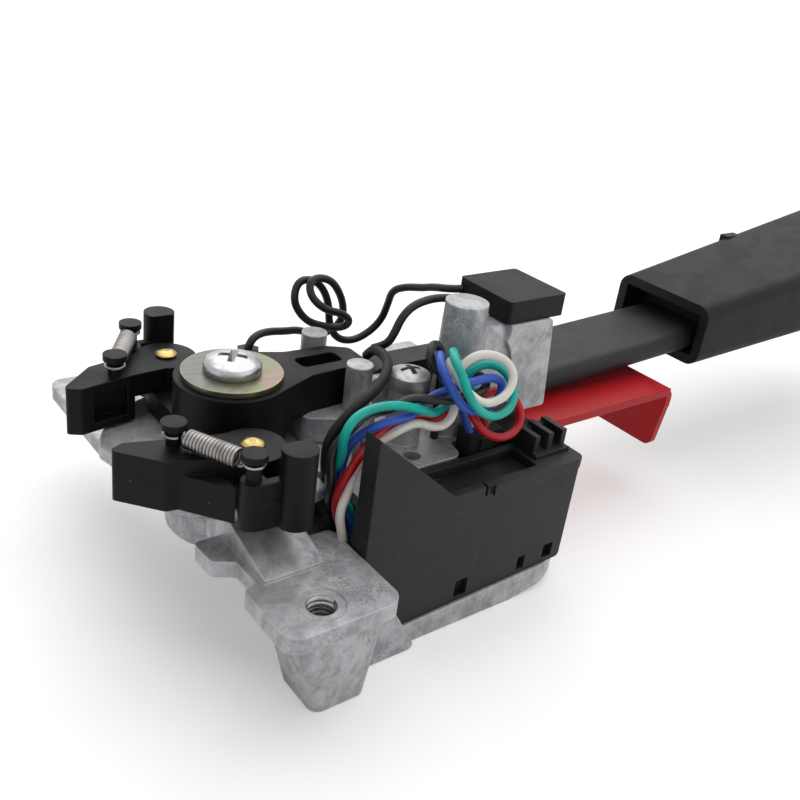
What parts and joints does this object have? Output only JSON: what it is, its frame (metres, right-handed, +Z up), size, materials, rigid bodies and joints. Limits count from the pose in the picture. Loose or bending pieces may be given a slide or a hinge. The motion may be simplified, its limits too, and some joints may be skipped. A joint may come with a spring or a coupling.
{
  "type": "combination stalk switch",
  "caption": "Steering-column stalk switch: slim lever with flared grip and twist end knob on a cast base with an open rotor, cancel pawls, switch case, red side lever and looped wires.",
  "frame": {"origin": "on the pivot axis of the rotor, at the flat underside of the pivot boss of the base casting", "axes": "+X out along the lever at rest, +Z up along the pivot axis, +Y completes a right-handed frame"},
  "size_m": [0.2624, 0.0934, 0.0564],
  "materials": {
    "cast_metal": "mottled die-cast",
    "bright_steel": "bright plated",
    "spring_steel": "drawn wire",
    "yellow_zinc": "yellow-passivated zinc",
    "bearing_brass": "turned",
    "black_plastic": "satin moulded",
    "red_plastic": "satin moulded",
    "black_rubber": "moulded",
    "white_wire": "extruded insulation",
    "red_wire": "extruded insulation",
    "blue_wire": "extruded insulation",
    "teal_wire": "extruded insulation",
    "black_wire": "extruded insulation"
  },
  "bodies": {
    "base": {"base_casting": "cast_metal", "gate_bracket": "cast_metal", "bracket_screw": "bright_steel", "pivot_screw": "bright_steel", "pivot_washer": "yellow_zinc", "pivot_bush": "bearing_brass", "switch_case": "black_plastic", "case_cover": "black_plastic", "terminal_block": "black_plastic", "lead_plug": "black_plastic", "hazard_guide": "black_plastic", "relay": "black_plastic", "lead_clip": "black_plastic", "wire_grommet": "black_rubber", "wire_white": "white_wire", "wire_red": "red_wire", "wire_blue": "blue_wire", "wire_teal": "teal_wire", "wire_black": "black_wire", "sleeve_lead": "black_wire", "relay_lead_long": "black_wire", "relay_lead_short": "black_wire"},
    "turn": {"rotor": "black_plastic", "lever_holder": "cast_metal", "hinge_pin": "bright_steel", "pawl_pin_far": "bearing_brass", "pawl_pin_near": "bearing_brass", "spring_far": "spring_steel", "spring_near": "spring_steel", "detent_plunger": "bright_steel", "detent_spring": "spring_steel"},
    "pawl_far": {"pawl_far": "black_plastic"},
    "pawl_near": {"pawl_near": "black_plastic"},
    "lever": {"lever_arm": "black_plastic", "grip": "black_plastic", "knob_spindle": "bright_steel"},
    "knob": {"light_knob": "black_plastic"},
    "hazard": {"hazard_lever": "red_plastic"}
  },
  "joints": [
    {"name": "turn_signal", "type": "hinge", "parent": "base", "child": "turn", "pos_m": [0, 0, 0.0236], "axis": [0, 0, 1], "range_deg": [-7, 7]},
    {"name": "dimmer", "type": "hinge", "parent": "turn", "child": "lever", "pos_m": [0.032, 0, 0.0224], "axis": [0, -1, 0], "range_deg": [0, 6], "stiffness_Nm_per_rad": 0.6, "springref_deg": -14.32},
    {"name": "pawl_far_swing", "type": "hinge", "parent": "turn", "child": "pawl_far", "pos_m": [-0.00397, 0.0183, 0.0222], "axis": [0, 0, 1], "range_deg": [0, 12], "stiffness_Nm_per_rad": 0.02, "springref_deg": -22.92, "deforming": ["spring_far"]},
    {"name": "pawl_near_swing", "type": "hinge", "parent": "turn", "child": "pawl_near", "pos_m": [-0.00562, -0.01786, 0.0222], "axis": [0, 0, 1], "range_deg": [-12, 0], "stiffness_Nm_per_rad": 0.02, "springref_deg": 22.92, "deforming": ["spring_near"]},
    {"name": "light_twist", "type": "hinge", "parent": "lever", "child": "knob", "pos_m": [0.2165, 0, 0.0313], "axis": [1, 0, 0], "range_deg": [0, 48]},
    {"name": "hazard_slide", "type": "slide", "parent": "base", "child": "hazard", "axis": [1, 0, 0], "range_m": [0, 0.006]}
  ]
}
